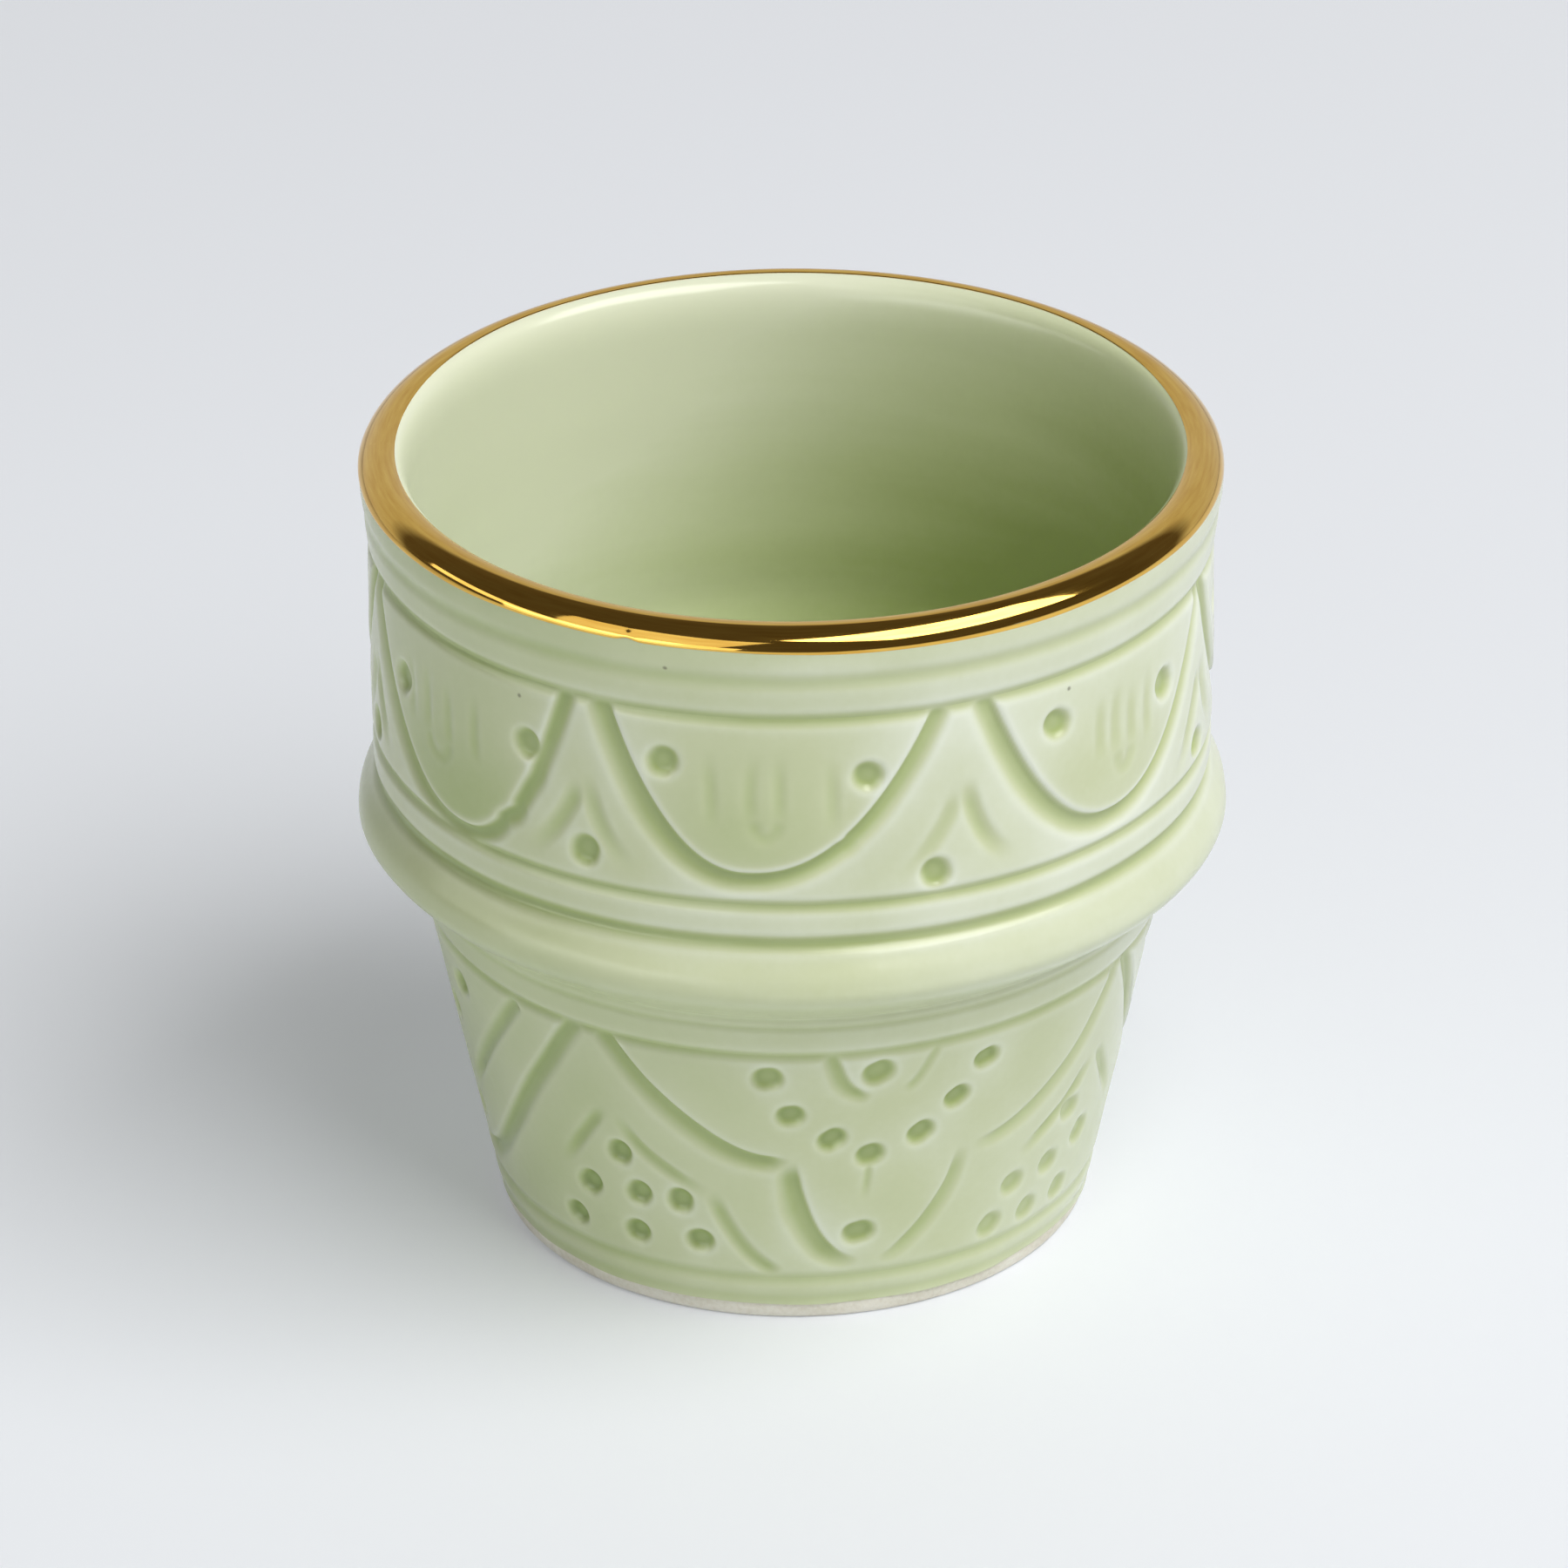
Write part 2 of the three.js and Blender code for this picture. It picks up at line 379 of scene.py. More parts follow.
# Collar: petals hang from the ring. Each row holds a petal's tip, how far its left and right arms spread at
# the ring, its two dots and its four faint lines, then the dot and two stroke depths under the peak to its
# right. Turns inside a row count from the tip.
PETALS = [
    (-50, 51.6, 24, 17.5, [(-14.9, 62.1), (12.6, 62.6)], [-11.5, -7.2, -2.3, 3.2], (-0.1, 53.5, 0.42, 0.30)),
    (-6, 53.5, 18.5, 24.3, [(-11.4, 64.1), (16.1, 63.1)], [-4.6, 0.6, 4.5, 11.4], (-3.6, 52.4, 0.26, 0.40)),
    (47.5, 53.5, 20.0, 23.0, [(-9.9, 64.4), (12.3, 62.7)], [-2.2, 0.8, 4.2, 7.8], (-1.0, 52.6, 0.36, 0.32)),
    (97, 52.6, 21.5, 22.5, [(-12.4, 63.4), (13.2, 63.9)], [-6.4, -2.0, 2.4, 7.6], (0.4, 53.2, 0.40, 0.30)),
    (150, 52.2, 24, 22, [(-14.0, 63.0), (12.6, 62.6)], [-8.0, -3.4, 0.9, 6.2], (-1.6, 52.8, 0.32, 0.38)),
    (205, 53.0, 22.5, 22.0, [(-12.8, 64.0), (13.0, 63.0)], [-6.9, -2.2, 2.1, 7.9], (0.8, 53.4, 0.38, 0.34)),
    (258, 52.4, 21.5, 22.0, [(-12.2, 62.7), (13.6, 63.6)], [-6.2, -2.4, 2.6, 7.2], (-0.8, 53.0, 0.34, 0.36)),
]
PETAL_ROUND = 2.2
PAST_RING = 1.04
LINE_TOP = 66.3
LINE_FOOT = 57.8

# How much darker each petal's field is coloured at its tip, and how fast that fades towards the ring
TIP_DARKENING = [0.44, 0.32, 0.25, 0.3, 0.36, 0.28, 0.33]
TIP_DARKENING_FADE = 1.7

# Slips of the knife along the petals: a turn, a sideways slip and a length, in degrees
CHIPPED = [(-42.4, -0.5, 0.7), (-40.9, 0.45, 0.4), (-37.6, 0.25, 0.6), (6.2, 0.35, 0.4)]

darker_at_tips = np.zeros_like(depths)
for row, (tip, tip_height, left, right, dots, lines, under_peak) in enumerate(PETALS):
    share = np.linspace(-PAST_RING, PAST_RING, 119)
    arm_height = PETAL_RING - tip_height
    spread = np.where(share < 0, left, right)
    edge = np.stack([tip + share * spread, tip_height + arm_height * np.abs(share) ** PETAL_ROUND], 1)
    for chip, slip, length in CHIPPED:
        edge[:, 0] += slip * np.exp(-(((edge[:, 0] - chip) / length) ** 2))
    carve(edge, 3.8, bevel([3.0, 3.3, 2.9, 2.4, 2.3, 2.5, 2.5], 0.7), PETAL_RING)

    columns = np.arange(
        math.floor((tip - left + 180) / CELL_TURN), math.ceil((tip + right + 180) / CELL_TURN),
    )
    from_tip = columns * CELL_TURN - 180 - tip
    arm_share = np.abs(from_tip / np.where(from_tip < 0, left, right))
    petal_floor = tip_height + arm_height * arm_share**PETAL_ROUND
    rise = (cell_heights[None, :] - tip_height) / arm_height
    inside = (cell_heights[None, :] > petal_floor[:, None]) & (rise < 1)
    columns %= CELLS_ROUND
    darker_here = TIP_DARKENING[row] * np.clip(1 - rise, 0, None) ** TIP_DARKENING_FADE
    darker_at_tips[columns] = np.where(inside, darker_here, darker_at_tips[columns])

    for dot_turn, dot_height in dots:
        punch(tip + dot_turn, dot_height)
    for line_turn in lines:
        top = LINE_TOP + hand.uniform(-0.8, 0.4)
        foot = LINE_FOOT + hand.uniform(-0.5, 0.9)
        sway = hand.uniform(-0.6, 0.6)
        start = tip + line_turn
        line = [(start + sway, top), (start - 0.2, (top + foot) / 2), (start, foot)]
        carve(smooth_route(line), 1.0, stroke(1.8, 0.17, (0.5, 0.35)))
    loop_left, loop_right = tip + lines[1], tip + lines[2]
    loop = [
        (loop_left, 59.5), (loop_left + 0.6, 57.8), ((loop_left + loop_right) / 2, 57.1),
        (loop_right - 0.6, 57.8), (loop_right, 59.5),
    ]
    carve(smooth_route(loop), 1.0, stroke(1.8, 0.14, (0.2, 0.2)))

    following = PETALS[(row + 1) % len(PETALS)]
    peak = tip + right + ((following[0] - following[2] - tip - right) % 360) / 2
    peak_turn, peak_height, left_depth, right_depth = under_peak
    left_stroke = [(peak - 0.3, 61.0), (peak - 2.2, 57.8), (peak - 5.2, 54.6), (peak - 9.8, 51.2)]
    right_stroke = [(peak + 0.3, 61.8), (peak + 1.6, 58.0), (peak + 3.9, 54.8), (peak + 7.8, 52.0)]
    carve(smooth_route(left_stroke), 1.6, stroke(2.4, left_depth, (0.3, 0.5)))
    carve(smooth_route(right_stroke), 1.6, stroke(2.4, right_depth, (0.3, 0.5)))
    punch(peak + peak_turn, peak_height)

# Skirt: four motifs of two kinds by turns. A round petal ends in a lobe and holds a garland of dots, which
# are given with their radii; a pointed petal has a second line inside it. Seven dots stand under each peak.
ROUND_CENTRES = (13.6, 193.6)
ROUND_LEFT = [
    (-44.4, 33.4), (-38.5, 28.5), (-34, 25.7), (-29.3, 23.3), (-24.7, 21.4), (-20, 20.2), (-13.5, 19.7),
]
ROUND_RIGHT = [(17, 18.8), (24, 19.5), (31, 21.5), (38, 25), (44, 30), (46.6, 33.4)]
LOBE_LEFT = [(-13.2, 19.6), (-11.6, 15), (-9.1, 11), (-5.6, 8.3), (-1, 7.1)]
LOBE_RIGHT = [(1, 7.2), (4, 8), (9, 11), (13, 15), (14.5, 19)]
ARCH_LEFT = [(-7.3, 33.2), (-4.9, 29.1), (-2.7, 27.5), (-0.9, 27)]
ARCH_RIGHT = [(4, 26.8), (6.4, 28.2), (9.6, 32)]
GARLAND = [
    (-17.6, 29.2, 1.5), (-14.1, 24.8, 1.38), (-7.4, 21.8, 1.36), (-0.8, 19.6, 1.42), (7.7, 21.4, 1.36),
    (13.5, 24.8, 1.26), (18.0, 28.6, 1.2),
]
LOBE_LINE = [(-1, 18.4), (-1.6, 14)]
ECHO = [(-28, 15.6), (-26, 12), (-22, 8.2), (-16, 5.2)]
POINTED_CENTRES = (104, 284)
POINTED = [(39.8, 33.4), (32, 27), (26, 22.5), (20.3, 18.2), (14, 14), (7.5, 10.4), (0, 8.4)]
POINTED_INSIDE = [(28, 31.4), (20, 26), (12, 21), (2, 15)]
POINTED_DOTS = [(-9, 28), (9, 28), (0, 23)]
STEEP_STROKE = [(1, 23), (6.4, 19), (13.4, 13.7)]
LONG_STROKE = [(0.2, 22.6), (4, 19.2), (10, 16.6), (17, 14.6)]

# Each peak's turn, the side of it that a pointed petal is on, how deep its dots are and where they stand
PEAKS = [
    (-31, -1, 0.8, [(0.2, 17.6), (-7.6, 12.6), (2.9, 13.2), (11, 13.4), (-12, 8), (1.6, 8.4), (13.9, 8.9)]),
    (59, 1, 0.44, [(-4, 17), (-17, 11.5), (-7.5, 11.7), (1.5, 13), (-21, 7.4), (-11.5, 7.3), (-2, 7.4)]),
    (149, -1, 0.66, [(0, 17.4), (-9, 12.6), (1.5, 12.9), (10.8, 12.6), (-12, 8.1), (1, 8.3), (13.5, 8.2)]),
    (239, 1, 0.7, [(0, 17.2), (-9.6, 12.4), (0.5, 12.8), (9.6, 13), (-12.6, 7.8), (0, 8), (12.8, 8.4)]),
]


def placed(route, centre, side=1):
    """A route set round the cup at its centre, or its mirror image on side -1, run the other way."""
    route = [(centre + side * turn, height) for turn, height in route]
    return smooth_route(route if side > 0 else route[::-1])


def spread_out(route, centre, side):
    """A route that leads away from its centre to one side."""
    return smooth_route([(centre + side * turn, height) for turn, height in route])


for centre in ROUND_CENTRES:
    carve(placed(ROUND_LEFT, centre), 3.6, bevel([2.4, 2.9, 2.8, 2.2], 0.62, (0, 0.12)), SKIRT_RING)
    carve(placed(ROUND_RIGHT, centre), 3.4, bevel([1.8, 2.4, 2.4, 2.0], 0.36, (0.2, 0)), SKIRT_RING)
    carve(placed(LOBE_LEFT, centre), 3.8, bevel([2.4, 3.3, 3.0, 1.6], 0.7, (0.15, 0.35)))
    carve(placed(LOBE_RIGHT, centre), 2.6, bevel([1.6, 2.1, 2.2, 1.9], 0.4, (0.4, 0.2)))
    carve(placed(ARCH_LEFT, centre), 2.6, bevel([2.0, 2.3, 1.8, 1.2], 0.5, (0, 0.4)), SKIRT_RING)
    carve(placed(ARCH_RIGHT, centre), 1.2, stroke(1.2, 0.25, (0.3, 0.1)))
    for turn, height, radius in GARLAND:
        punch(centre + turn, height, radius, 0.45)
    punch(centre - 0.3, 29.4, 1.55, 0.5)
    carve([(centre + turn, height) for turn, height in LOBE_LINE], 1.0, stroke(1.0, 0.25, (0.1, 0.6)))
    punch(centre - 2.3, 10.3, 1.5, 0.5)
    carve(placed(ECHO, centre), 1.6, stroke(2.1, 0.45, (0.3, 0.15)))
for centre in POINTED_CENTRES:
    pointed = [(-turn, height) for turn, height in POINTED] + POINTED[-2::-1]
    carve(placed(pointed, centre), 3.4, bevel([2.6, 2.8, 2.6, 2.8, 2.6], 0.62), SKIRT_RING)
    carve(placed(POINTED_INSIDE, centre, -1), 1.8, stroke(2.2, 0.5, (0.2, 0.04)))
    carve(placed(POINTED_INSIDE, centre), 1.8, stroke(2.2, 0.5, (0.04, 0.2)))
    for turn, height in POINTED_DOTS:
        punch(centre + turn, height, 1.5, 0.45)
    punch(centre, 12, 1.5, 0.5)
for peak, pointed_side, dot_depth, field in PEAKS:
    carve(spread_out(STEEP_STROKE, peak, pointed_side), 1.6, stroke(1.8, 0.42, (0.35, 0.4)))
    carve(spread_out(LONG_STROKE, peak, -pointed_side), 1.6, stroke(2.0, 0.42, (0.35, 0.35)))
    for turn, height in field:
        punch(peak + turn, height, 1.5, 0.2, dot_depth)


def soften(field, spread):
    """Blurs a grid over the unrolled wall by a distance in millimetres, closing on itself round the cup."""
    pad = 60
    tall = np.pad(field, ((0, 0), (pad, pad)), mode="edge")
    cells = spread / CELL
    round_waves = np.fft.fftfreq(tall.shape[0])[:, None]
    tall_waves = np.fft.rfftfreq(tall.shape[1])[None, :]
    blur = np.exp(-2 * (math.pi * cells) ** 2 * (round_waves**2 + tall_waves**2))
    return np.fft.irfft2(np.fft.rfft2(tall) * blur, s=tall.shape)[:, pad:-pad]


# The wall is a little uneven below the gold. Glaze pools where a cell lies deeper than the wall around it,
# runs thin on the edges beside a cut, and is coloured darker towards each petal's tip, away from its edges.
UNEVEN = 0.04
uneven = soften(hand.standard_normal(depths.shape), 3.0)
uneven *= UNEVEN / uneven.std() * ease((GOLD_FOOT[1] - cell_heights) / 2.5)
sunk = soften(depths, 0.18) - uneven
near_edge = ease(soften(sunk, 0.5) / 0.25)
pools = 1.85 * sunk - 1.15 * soften(sunk, 0.45) - 0.9 * soften(sunk, 2.5)
pools += soften(darker_at_tips, 0.5) * (1 - near_edge)


def on_wall(field, turn, height):
    """A grid's value at turns in degrees and heights in millimetres."""
    u = (turn + 180) / CELL_TURN
    v = np.clip(height / CELL, 0, field.shape[1] - 1.001)
    column, row = np.floor(u).astype(int), np.floor(v).astype(int)
    across, up = u - column, v - row
    left, right = column % CELLS_ROUND, (column + 1) % CELLS_ROUND
    below = field[left, row] * (1 - across) + field[right, row] * across
    above = field[left, row + 1] * (1 - across) + field[right, row + 1] * across
    return below * (1 - up) + above * up


# Outer glaze
# A pale green glaze, dipped and fired, that covers the outside from just above the foot to the lip. It runs
# off edges, where it is thin and pale, and pools dark in the grooves. Its bands meet in the turned rings.
COAT = 1.2
COAT_MARGIN = 0.15
COAT_UNDER_LIP = [(LIP_CREST[0] + 0.02, 77.2), (38.3, 76.5), (wall_radius(75) - COAT, 75)]

# Each band's foot and top, how far apart its points stand up its face and up its hidden back, and its steps
# round the cup. A straight wall needs few points on its back.
BANDS = {
    "glaze_foot_band": (BARE_FOOT, FOOT_RING, 0.25, 2.0, 720),
    "glaze_carved_skirt": (FOOT_RING, SKIRT_RING, 0.285, 6.0, 960),
    "glaze_belly": (SKIRT_RING, COLLAR_RING, 0.26, 2.0, 720),
    "glaze_carved_collar": (COLLAR_RING, PETAL_RING, 0.22, 6.0, 1080),
    "glaze_lip_band": (PETAL_RING, LIP_CREST[1], 0.25, 2.0, 720),
}

outer_green, tree = start_material("outer_green_glaze")
place = tree.node("ShaderNodeTexCoord", output="Object")
pool = tree.node("ShaderNodeAttribute", {"attribute_name": "pool"}, output="Fac")
cloud = tree.node("ShaderNodeTexNoise", values={"Vector": place, "Scale": 70.0, "Detail": 3.0})
mottle = tree.node("ShaderNodeTexNoise", values={"Vector": place, "Scale": 1100.0, "Detail": 2.0})
aside = tree.node("ShaderNodeSeparateXYZ", values={0: place}, output="X")
upward = tree.node("ShaderNodeSeparateXYZ", values={0: place}, output="Z")

# Painted shade: the glaze colour is darker on the cup's left and paler on its right, as the key light falls
# from the right, and a little darker on the skirt, which faces down, away from the light.
painted_side_shade = tree.node(
    "ShaderNodeMapRange", {"interpolation_type": "SMOOTHSTEP"},
    {"Value": aside, "From Min": -42.0 * MM, "From Max": 42.0 * MM, "To Min": 0.14, "To Max": -0.08},
)
lower = tree.node(
    "ShaderNodeMapRange", {"interpolation_type": "SMOOTHSTEP"},
    {"Value": upward, "From Min": 42.0 * MM, "From Max": 28.0 * MM, "To Max": 0.05},
)
# Real pooling in the cuts, plus the painted shade on the cup's left side and on the skirt
glaze_pool_and_painted_shade = pool * 0.8 + painted_side_shade + lower + 0.285
glaze_colour = tree.node(
    "ShaderNodeValToRGB",
    {"stops": [
        (0.03, (0.775, 0.825, 0.695)),
        (0.3, (0.58, 0.635, 0.395)),
        (0.62, (0.416, 0.50, 0.215)),
        (1.0, (0.23, 0.32, 0.08)),
    ]},
    {"Fac": glaze_pool_and_painted_shade + cloud * 0.18 - 0.09 + mottle * 0.04 - 0.02},
)

# Iron specks in the glaze, each at a turn and a height
SPECKS = [
    (-16.5, 73.8), (-38.6, 67.3), (39.3, 67.6), (76, 27.4),
    (124, 60.8), (171, 42.3), (228, 66.9), (266, 21.5),
]
SPECK_EDGE = 0.28
SPECK_CORE = 0.1
speck_gap = None
for turn, height in SPECKS:
    reach = wall_radius(height) - on_wall(sunk, np.float64(turn), np.float64(height))
    angle = math.radians(turn)
    spot = (reach * math.sin(angle) * MM, -reach * math.cos(angle) * MM, height * MM)
    gap = tree.node("ShaderNodeVectorMath", {"operation": "DISTANCE"}, {0: place, 1: spot}, output="Value")
    speck_gap = tree.math("MINIMUM", gap, speck_gap) if speck_gap else gap
speck = tree.node(
    "ShaderNodeMapRange",
    values={"Value": speck_gap, "From Min": SPECK_EDGE * MM, "From Max": SPECK_CORE * MM, "To Max": 0.65},
)
glaze_specked = tree.node(
    "ShaderNodeMix", {"data_type": "RGBA"},
    {"Factor": speck, 6: glaze_colour, 7: (0.10, 0.09, 0.05, 1)}, output=2,
)
dimple = tree.node("ShaderNodeTexNoise", values={"Vector": place, "Scale": 260.0, "Detail": 2.0})
glaze_dimples = tree.node(
    "ShaderNodeBump", values={"Height": dimple, "Strength": 0.07, "Distance": 0.6 * MM},
)
glaze_shader = tree.node("ShaderNodeBsdfPrincipled", values={
    "Base Color": glaze_specked, "Roughness": cloud * 0.08 + 0.18, "IOR": 1.52, "Normal": glaze_dimples,
})
tree.node("ShaderNodeOutputMaterial", values={"Surface": glaze_shader})


def vertex_rows(piece):
    """A piece's vertices as rows of x, y and z, in metres."""
    rows = np.empty(len(piece.data.vertices) * 3)
    piece.data.vertices.foreach_get("co", rows)
    return rows.reshape(-1, 3)


def round_axis(rows):
    """Each row's turn from the front in degrees, and its radius and height in millimetres."""
    turn = np.degrees(np.arctan2(rows[:, 0], -rows[:, 1]))
    return turn, np.hypot(rows[:, 0], rows[:, 1]) / MM, rows[:, 2] / MM


for name, (foot, top, face_spacing, back_spacing, steps) in BANDS.items():
    between = WALL[(WALL[:, 1] > foot) & (WALL[:, 1] < top)]
    front = even_steps([(wall_radius(foot), foot), *between, (wall_radius(top), top)], face_spacing)
    if name == "glaze_lip_band":
        back = np.array([*COAT_UNDER_LIP, (wall_radius(foot) - COAT, foot)])
    else:
        back = even_steps(front[::-1] - (COAT, 0), back_spacing)
    if name == "glaze_foot_band":
        back[-1] = (wall_radius(foot) - GLAZE_EDGE + 0.02, foot)
    band = turn_on_wheel(name, np.concatenate([front, back]), steps)
    rows = vertex_rows(band)
    turn, reach, height = round_axis(rows)
    coated = reach > wall_radius(height) - COAT_MARGIN
    shrink = np.where(coated, 1 - on_wall(sunk, turn, height) / reach, 1)
    rows[:, :2] *= shrink[:, None]
    band.data.vertices.foreach_set("co", rows.ravel())
    thickness = band.data.attributes.new("pool", "FLOAT", "POINT")
    pooled = np.where(coated, on_wall(pools, turn, height), 0)
    thickness.data.foreach_set("value", pooled.astype(np.float32))
    band.data.materials.append(outer_green)
    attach(band, "root")
    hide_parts("outer_glaze")

# Inner glaze
# The same glaze poured into the bowl and swirled, so it lies smooth, with faint level rings from the
# thrower's fingers. It meets the outer coat on the crest of the lip, under the gold.
BOWL_COAT = 0.8
BOWL_UNDER_LIP = [(36.95, 76.4), (LIP_CREST[0] - 0.02, 77.2)]
bowl_front = np.concatenate([LIP_BACK[:-1], even_steps(bowl_line(0), 0.7)])
bowl_back = np.concatenate([bowl_line(BOWL_COAT)[:0:-1], BOWL_UNDER_LIP])
inner_glaze = turn_on_wheel("glaze_bowl", np.concatenate([bowl_back, bowl_front]), 480, closed=False)

# Painted shade: the coat's colour is darker on the bowl's right, where the rim keeps the key light off the
# inside, and darker low in the bowl, which is partly painted shade and partly glaze pooled there.
# It runs a little thin at the lip.
inner_green, tree = start_material("inner_green_glaze")
place = tree.node("ShaderNodeTexCoord", output="Object")
level = tree.node("ShaderNodeMapping", values={"Vector": place, "Scale": (18, 18, 160)})
swirl = tree.node("ShaderNodeTexNoise", values={"Vector": level, "Scale": 1.0, "Detail": 3.0})
aside = tree.node("ShaderNodeSeparateXYZ", values={0: place}, output="X")
upward = tree.node("ShaderNodeSeparateXYZ", values={0: place}, output="Z")
mottle = tree.node("ShaderNodeTexNoise", values={"Vector": place, "Scale": 900.0, "Detail": 2.0})
bowl_colour = tree.node(
    "ShaderNodeValToRGB",
    {"stops": [
        (0.1, (0.83, 0.88, 0.68)),
        (0.38, (0.60, 0.675, 0.39)),
        (0.58, (0.39, 0.475, 0.18)),
        (1.0, (0.345, 0.435, 0.15)),
    ]},
    {"Fac": swirl * 0.18 + mottle * 0.03 + aside * 9.3 - upward * 12.0 + 0.885},
)
run_off = tree.node(
    "ShaderNodeMapRange", {"interpolation_type": "SMOOTHSTEP"},
    {"Value": upward, "From Min": 74.5 * MM, "From Max": 77.6 * MM, "To Max": 0.1},
)
bowl_colour = tree.node(
    "ShaderNodeMix", {"data_type": "RGBA"},
    {"Factor": run_off, 6: bowl_colour, 7: (0.76, 0.78, 0.64, 1)}, output=2,
)
finger_rings = tree.node("ShaderNodeBump", values={"Height": swirl, "Strength": 0.04, "Distance": 1.0 * MM})
bowl_shader = tree.node("ShaderNodeBsdfPrincipled", values={
    "Base Color": bowl_colour, "Roughness": swirl * 0.06 + 0.18, "IOR": 1.52, "Normal": finger_rings,
})
tree.node("ShaderNodeOutputMaterial", values={"Surface": bowl_shader})
inner_glaze.data.materials.append(inner_green)
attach(inner_glaze, "root")
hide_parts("inner_glaze")

# Gold lip
# A band of gold lustre brushed over the rounded lip by hand and fired on. It is a bright film with a
# slightly uneven lower edge and faint brush lines that run round the lip.
GOLD_EDGE = 0.03
GOLD_GAP = 0.012
GOLD_PAST_CREST = 8  # steps of the lip's inside
WALL_SLOPE = 0.09
lip_line = np.concatenate([LIP_SLOPE, LIP_BACK[1:GOLD_PAST_CREST]])
lean = np.gradient(lip_line, axis=0)
lean /= np.linalg.norm(lean, axis=1)[:, None]
outward = np.stack([lean[:, 1], -lean[:, 0]], 1)
along_lip = np.linspace(0, 1, len(lip_line))[:, None]
film = GOLD_EDGE + (GOLD_FILM - GOLD_EDGE) * np.sin(math.pi * along_lip) ** 0.5
gold_section = np.concatenate([lip_line + outward * film, (lip_line + outward * GOLD_GAP)[::-1]])
gold_rim = turn_on_wheel("gold_lip", gold_section, 720)

# The lower edge hangs lower on the front right and has a nick on the front left
rows = vertex_rows(gold_rim)
turn, _, height = round_axis(rows)
brush = 0.03 + 0.05 * np.sin(np.radians(5 * turn)) + 0.03 * np.sin(np.radians(13 * turn))
brush += 0.17 * np.exp(-(((turn - 30) / 32) ** 2))
brush -= 0.3 * np.exp(-(((turn + 21.5) / 1.1) ** 2))
hang = brush * ease(GOLD_FOOT[1] + 1.0 - height)
rows[:, 2] -= hang * MM
rows[:, :2] *= (1 - WALL_SLOPE * hang / GOLD_FOOT[0])[:, None]

# At the back the brush stopped sooner past the crest, so the film is drawn back along the lip there
turn, reach, _ = round_axis(rows)
drawn_back = np.clip(LIP_CREST[0] - reach, 0, None) * 0.6 * ease((np.abs(turn) - 95) / 50)
lip_radii, lip_heights = LIP_BACK[::-1].T
lip_rise = np.interp(reach + drawn_back, lip_radii, lip_heights) - np.interp(reach, lip_radii, lip_heights)
rows[:, 2] += np.where(drawn_back > 0, lip_rise, 0) * MM
rows[:, :2] *= (1 + drawn_back / reach)[:, None]
gold_rim.data.vertices.foreach_set("co", rows.ravel())

gold_lustre, tree = start_material("gold_lustre")
place = tree.node("ShaderNodeTexCoord", output="Object")
aside = tree.node("ShaderNodeSeparateXYZ", values={0: place}, output="X")
across = tree.node("ShaderNodeSeparateXYZ", values={0: place}, output="Y")
upward = tree.node("ShaderNodeSeparateXYZ", values={0: place}, output="Z")
round_lip = tree.math("ARCTAN2", across, aside)
from_axis = tree.math("SQRT", aside * aside + across * across)
brushed = tree.node(
    "ShaderNodeCombineXYZ", values={0: round_lip * 9.0, 1: from_axis * 3200.0, 2: upward * 3200.0},
)
brush_lines = tree.node("ShaderNodeTexNoise", values={"Vector": brushed, "Scale": 1.0, "Detail": 4.0})
gold_tone = tree.node(
    "ShaderNodeValToRGB",
    {"stops": [(0.3, (0.73, 0.42, 0.075)), (0.7, (0.85, 0.54, 0.115))]},
    {"Fac": brush_lines},
)
gold_shader = tree.node(
    "ShaderNodeBsdfPrincipled",
    values={"Base Color": gold_tone, "Metallic": 1.0, "Roughness": brush_lines * 0.1 + 0.02},
)
tree.node("ShaderNodeOutputMaterial", values={"Surface": gold_shader})
gold_rim.data.materials.append(gold_lustre)
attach(gold_rim, "root")
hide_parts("gold_rim")

# Stage
# A pale floor that runs out of view, in a room that is bright behind the cup and dim in front of it. A large
# soft light stands high on the right, with a low card and two sheen cards on the left.
FLOOR_HALF = 4.0
FLOOR_GLOW = 0.2
floor_shape = bmesh.new()
bmesh.ops.create_grid(floor_shape, x_segments=1, y_segments=1, size=FLOOR_HALF)
floor_mesh = bpy.data.meshes.new("floor")
floor_shape.to_mesh(floor_mesh)
floor_shape.free()
floor = bpy.data.objects.new("floor", floor_mesh)
bpy.context.scene.collection.objects.link(floor)
pale_floor, tree = start_material("pale_floor")
floor_shader = tree.node(
    "ShaderNodeBsdfPrincipled", values={"Base Color": (0.85, 0.885, 0.95, 1), "Roughness": 0.6},
)
seen = tree.node("ShaderNodeLightPath", output="Is Camera Ray")
mirrored = tree.node("ShaderNodeLightPath", output="Is Glossy Ray")
pale_glow = tree.node("ShaderNodeEmission", values={"Color": (0.93, 0.96, 1.0, 1)})
floor_seen = tree.node(
    "ShaderNodeMixShader", values={0: (seen + mirrored) * FLOOR_GLOW, 1: floor_shader, 2: pale_glow},
)
tree.node("ShaderNodeOutputMaterial", values={"Surface": floor_seen})
floor.data.materials.append(pale_floor)

room = bpy.data.worlds.new("room")
room.use_nodes = True
room.node_tree.nodes.clear()
bpy.context.scene.world = room
tree = Link(room.node_tree)
toward = tree.node("ShaderNodeTexCoord", output="Generated")
behind = tree.node(
    "ShaderNodeVectorMath", {"operation": "DOT_PRODUCT"}, {0: toward, 1: (0.0, 1.0, -0.35)}, output="Value",
)
room_tone = tree.node(
    "ShaderNodeValToRGB",
    {"stops": [
        (0.0, (0.09, 0.08, 0.065)),
        (0.38, (0.11, 0.095, 0.078)),
        (0.5, (0.60, 0.62, 0.66)),
        (0.95, (0.66, 0.68, 0.72)),
    ]},
    {"Fac": behind},
)
room_light = tree.node("ShaderNodeBackground", values={"Color": room_tone, "Strength": 0.95})
tree.node("ShaderNodeOutputWorld", values={"Surface": room_light})

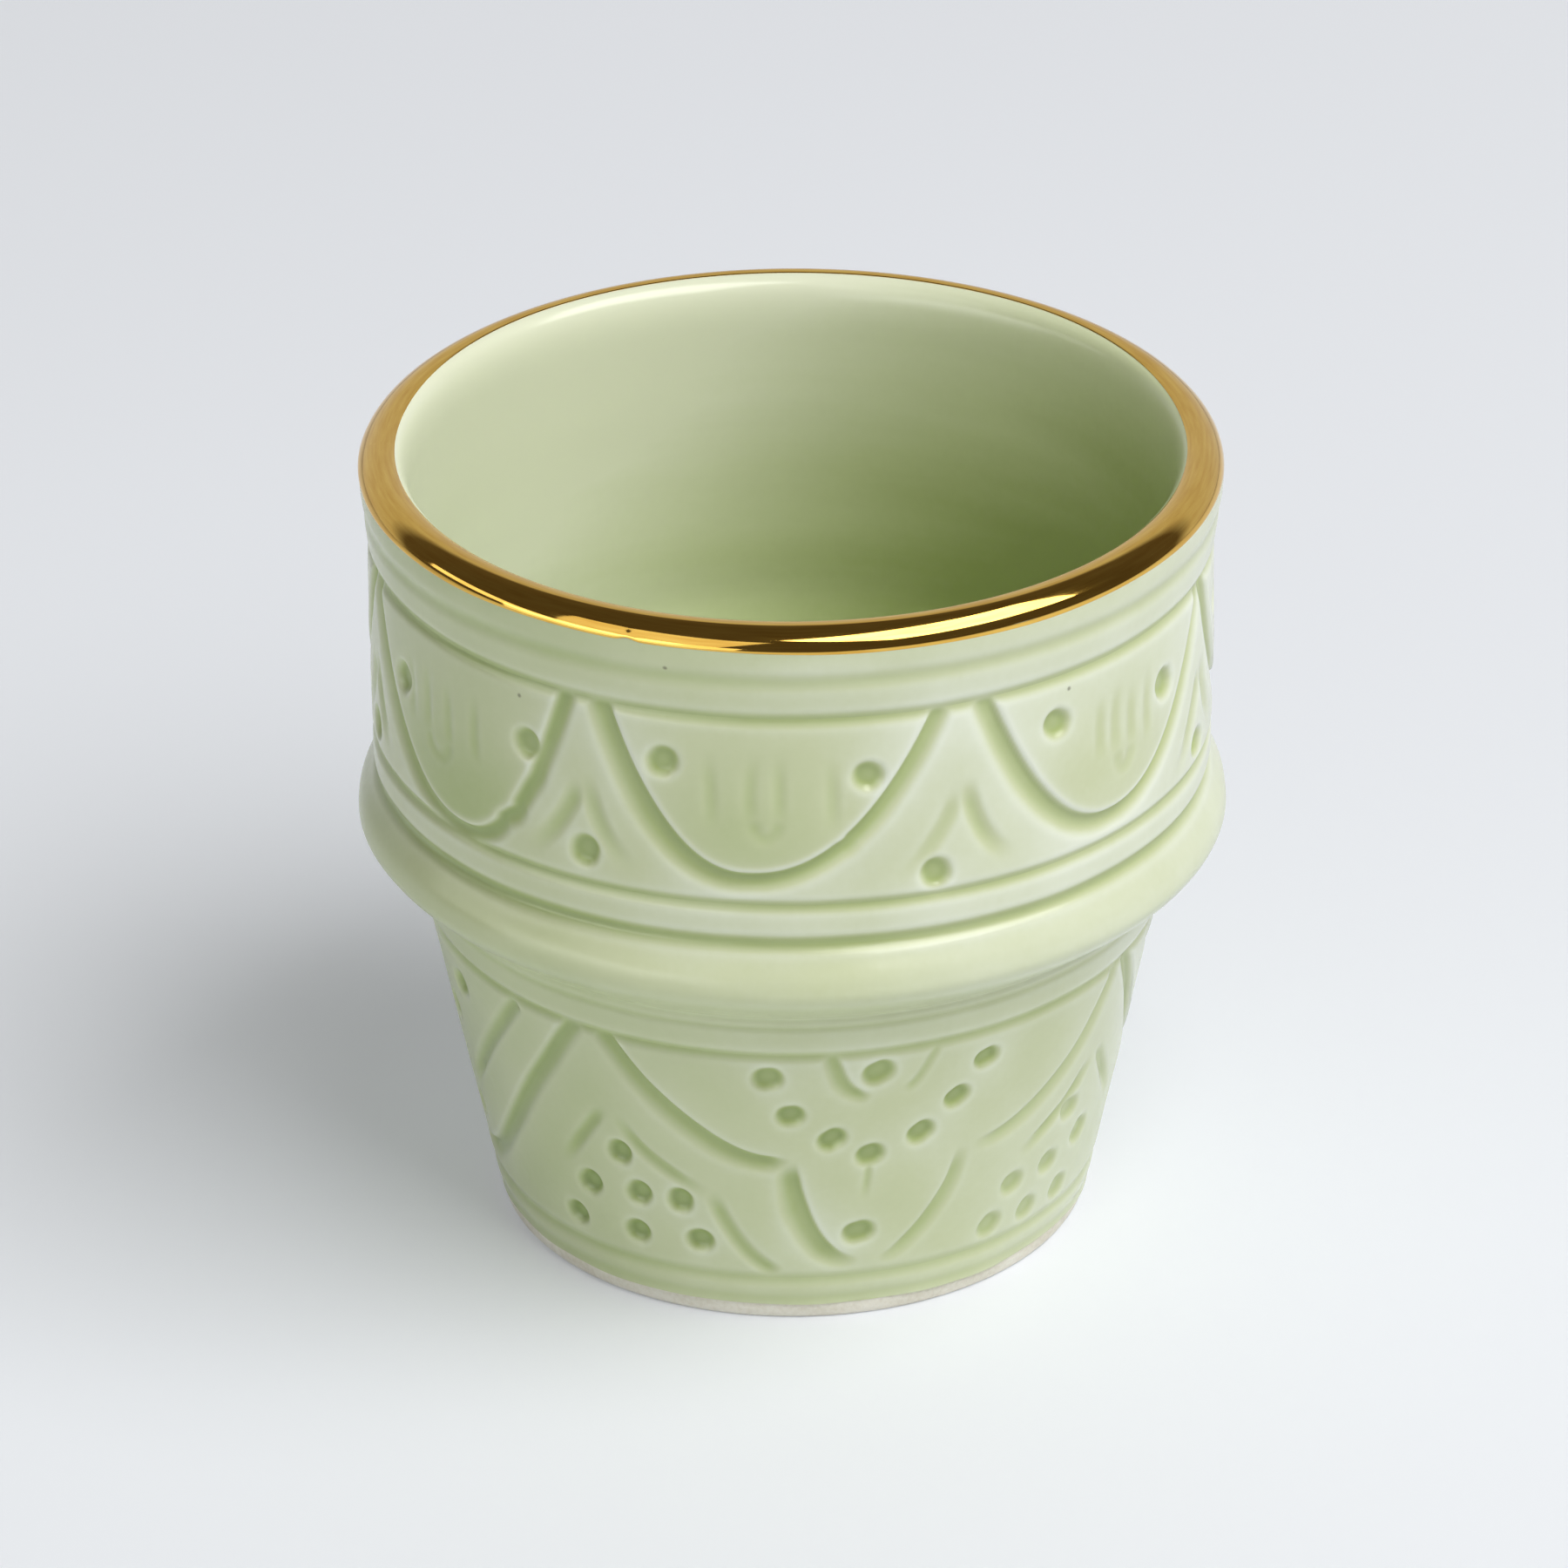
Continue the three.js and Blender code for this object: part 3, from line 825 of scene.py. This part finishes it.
# Each light's direction from the cup, distance, width and height in metres, watts and colour. The sheen
# cards show only as reflections.
LAMPS = {
    "key": ((0.458, -0.321, 0.829), 1.6, (1.46, 1.1), 27.5, (1.0, 0.985, 0.96)),
    "low_card": ((-0.696, -0.696, 0.174), 1.3, (1.6, 0.5), 3.8, (0.97, 0.985, 1.0)),
    "sheen_card": ((-0.51, -0.61, 0.61), 1.3, (1.0, 0.9), 2.8, (1.0, 0.99, 0.97)),
    "sheen_strip": ((-0.87, -0.387, 0.309), 1.3, (1.9, 0.28), 2.5, (1.0, 0.99, 0.97)),
}
for name, (direction, distance, (width, height), energy, colour) in LAMPS.items():
    lamp = bpy.data.lights.new(name, "AREA")
    lamp.shape = "RECTANGLE"
    lamp.size = width
    lamp.size_y = height
    lamp.energy = energy
    lamp.color = colour
    stand = bpy.data.objects.new(name, lamp)
    toward_lamp = Vector(direction).normalized()
    stand.location = toward_lamp * distance
    stand.rotation_euler = (-toward_lamp).to_track_quat("-Z", "Y").to_euler()
    stand.visible_diffuse = not name.startswith("sheen")
    bpy.context.scene.collection.objects.link(stand)

CAMERA_PITCH = math.radians(27.87)
CAMERA_DISTANCE = 0.8517
CAMERA_ROLL = math.radians(-0.25)
LENS_PIXELS = 10336.0
FRAME_PIXELS = 1800
AIM_HEIGHT = 0.04008
AIM_OFFSET_PIXELS = (9.8, 20.0)
ahead = Vector((0, math.cos(CAMERA_PITCH), -math.sin(CAMERA_PITCH)))
level_right = Vector((1, 0, 0))
level_up = level_right.cross(ahead)
camera_right = level_right * math.cos(CAMERA_ROLL) + level_up * math.sin(CAMERA_ROLL)
camera_up = level_up * math.cos(CAMERA_ROLL) - level_right * math.sin(CAMERA_ROLL)
camera_data = bpy.data.cameras.new("camera")
camera_data.sensor_width = 36.0
camera_data.lens = LENS_PIXELS / FRAME_PIXELS * camera_data.sensor_width
camera_data.shift_x = -AIM_OFFSET_PIXELS[0] / FRAME_PIXELS
camera_data.shift_y = AIM_OFFSET_PIXELS[1] / FRAME_PIXELS
camera_data.clip_end = 20.0
camera = bpy.data.objects.new("camera", camera_data)
bpy.context.scene.collection.objects.link(camera)
eye = Vector((0, 0, AIM_HEIGHT)) - ahead * CAMERA_DISTANCE
facing = Matrix((camera_right, camera_up, -ahead)).transposed().to_4x4()
camera.matrix_world = Matrix.Translation(eye) @ facing
bpy.context.scene.camera = camera
bpy.context.scene.view_settings.view_transform = "Standard"
